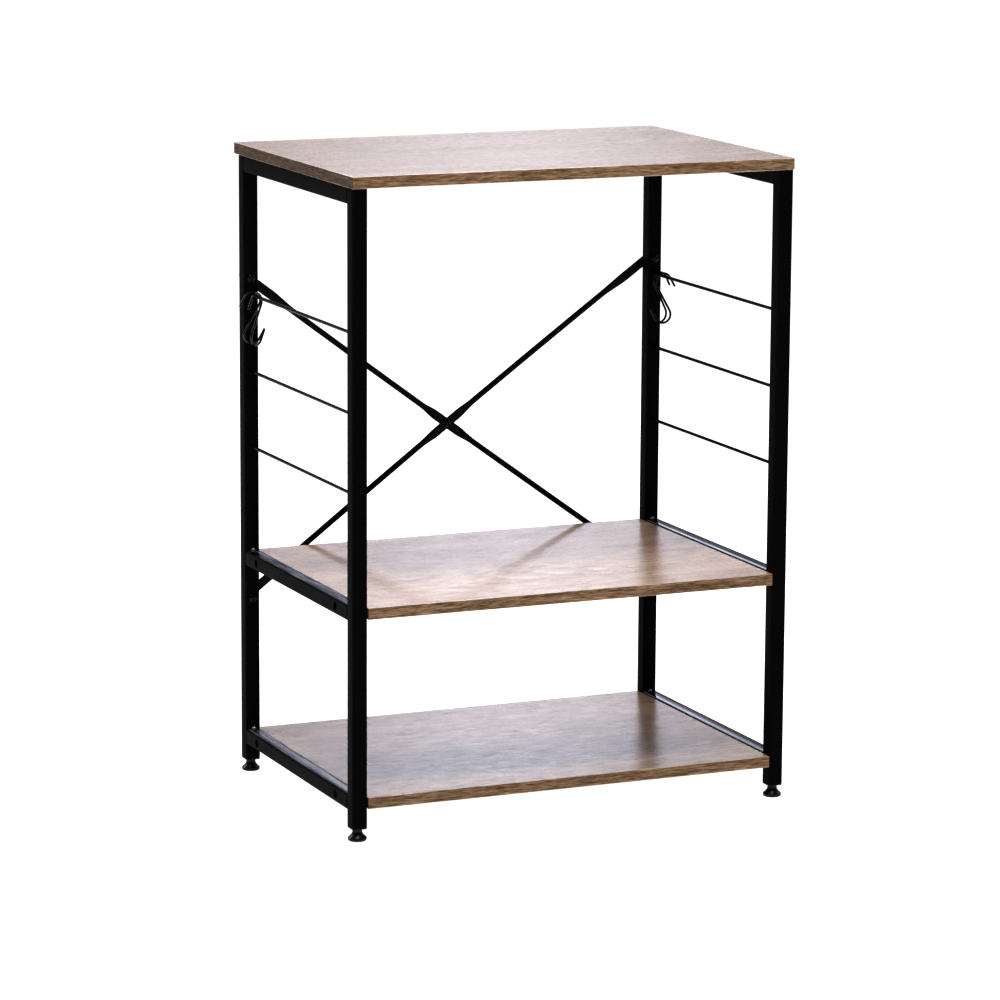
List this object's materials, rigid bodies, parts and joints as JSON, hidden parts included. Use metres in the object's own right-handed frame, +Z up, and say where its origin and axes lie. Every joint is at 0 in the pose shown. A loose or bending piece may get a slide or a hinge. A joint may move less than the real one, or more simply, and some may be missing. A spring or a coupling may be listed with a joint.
{
  "type": "kitchen shelf",
  "caption": "Open kitchen shelf: square steel tube side frames carry wood-effect boards, with a crossed brace behind, side rods with S-hooks, and levelling feet.",
  "frame": {"origin": "on the floor, under the middle of the shelf's footprint", "axes": "+Z up, X along the shelf's width, -Y towards the open front"},
  "size_m": [0.617, 0.42, 0.8332],
  "materials": {
    "board": "satin wood-effect facing with straight grain",
    "frame_steel": "semi-gloss black powder coat",
    "brace_steel": "semi-gloss black powder coat",
    "black_fastener": "glossy black plated",
    "board_screw": "zinc plated",
    "insert_plastic": "matt black moulded",
    "foot_plastic": "satin black moulded",
    "hook_wire": "glossy black coated wire"
  },
  "bodies": {
    "shelf": {"top_board": "board", "middle_board": "board", "bottom_board": "board", "front_leg_left": "frame_steel", "rear_leg_left": "frame_steel", "top_rail_left": "frame_steel", "middle_rail_left": "frame_steel", "bottom_rail_left": "frame_steel", "upper_rod_left": "frame_steel", "middle_rod_left": "frame_steel", "lower_rod_left": "frame_steel", "front_leg_right": "frame_steel", "rear_leg_right": "frame_steel", "top_rail_right": "frame_steel", "middle_rail_right": "frame_steel", "bottom_rail_right": "frame_steel", "upper_rod_right": "frame_steel", "middle_rod_right": "frame_steel", "lower_rod_right": "frame_steel", "brace_bar_rising": "brace_steel", "brace_bar_falling": "brace_steel", "brace_bolt_upper_left": "black_fastener", "brace_nut_upper_left": "black_fastener", "brace_bolt_lower_left": "black_fastener", "brace_nut_lower_left": "black_fastener", "brace_bolt_upper_right": "black_fastener", "brace_nut_upper_right": "black_fastener", "brace_bolt_lower_right": "black_fastener", "brace_nut_lower_right": "black_fastener", "brace_centre_bolt": "black_fastener", "brace_centre_nut": "black_fastener", "top_screw_front_left": "board_screw", "top_screw_rear_left": "board_screw", "middle_screw_front_left": "board_screw", "middle_screw_rear_left": "board_screw", "bottom_screw_front_left": "board_screw", "bottom_screw_rear_left": "board_screw", "top_screw_front_right": "board_screw", "top_screw_rear_right": "board_screw", "middle_screw_front_right": "board_screw", "middle_screw_rear_right": "board_screw", "bottom_screw_front_right": "board_screw", "bottom_screw_rear_right": "board_screw", "leg_insert_front_left": "insert_plastic", "leg_insert_rear_left": "insert_plastic", "leg_insert_front_right": "insert_plastic", "leg_insert_rear_right": "insert_plastic"},
    "foot_front_left": {"levelling_foot_front_left": "foot_plastic"},
    "foot_rear_left": {"levelling_foot_rear_left": "foot_plastic"},
    "foot_front_right": {"levelling_foot_front_right": "foot_plastic"},
    "foot_rear_right": {"levelling_foot_rear_right": "foot_plastic"},
    "hook_left_1": {"s_hook_left_1": "hook_wire"},
    "hook_left_2": {"s_hook_left_2": "hook_wire"},
    "hook_right_1": {"s_hook_right_1": "hook_wire"},
    "hook_right_2": {"s_hook_right_2": "hook_wire"}
  },
  "joints": [
    {"name": "foot_front_left_height", "type": "slide", "parent": "shelf", "child": "foot_front_left", "axis": [0, 0, -1], "range_m": [0, 0.012]},
    {"name": "foot_rear_left_height", "type": "slide", "parent": "shelf", "child": "foot_rear_left", "axis": [0, 0, -1], "range_m": [0, 0.012]},
    {"name": "foot_front_right_height", "type": "slide", "parent": "shelf", "child": "foot_front_right", "axis": [0, 0, -1], "range_m": [0, 0.012]},
    {"name": "foot_rear_right_height", "type": "slide", "parent": "shelf", "child": "foot_rear_right", "axis": [0, 0, -1], "range_m": [0, 0.012]},
    {"name": "hook_left_1_swing", "type": "hinge", "parent": "shelf", "child": "hook_left_1", "pos_m": [-0.29, 0.1722, 0.6376], "axis": [0, 1, 0], "range_deg": [-45, 45]},
    {"name": "hook_left_2_swing", "type": "hinge", "parent": "shelf", "child": "hook_left_2", "pos_m": [-0.29, 0.156, 0.6376], "axis": [0, 1, 0], "range_deg": [-45, 45]},
    {"name": "hook_right_1_swing", "type": "hinge", "parent": "shelf", "child": "hook_right_1", "pos_m": [0.29, 0.157, 0.6363], "axis": [0, 1, 0], "range_deg": [-45, 45]},
    {"name": "hook_right_2_swing", "type": "hinge", "parent": "shelf", "child": "hook_right_2", "pos_m": [0.29, 0.148, 0.6363], "axis": [0, 1, 0], "range_deg": [-45, 45]}
  ]
}
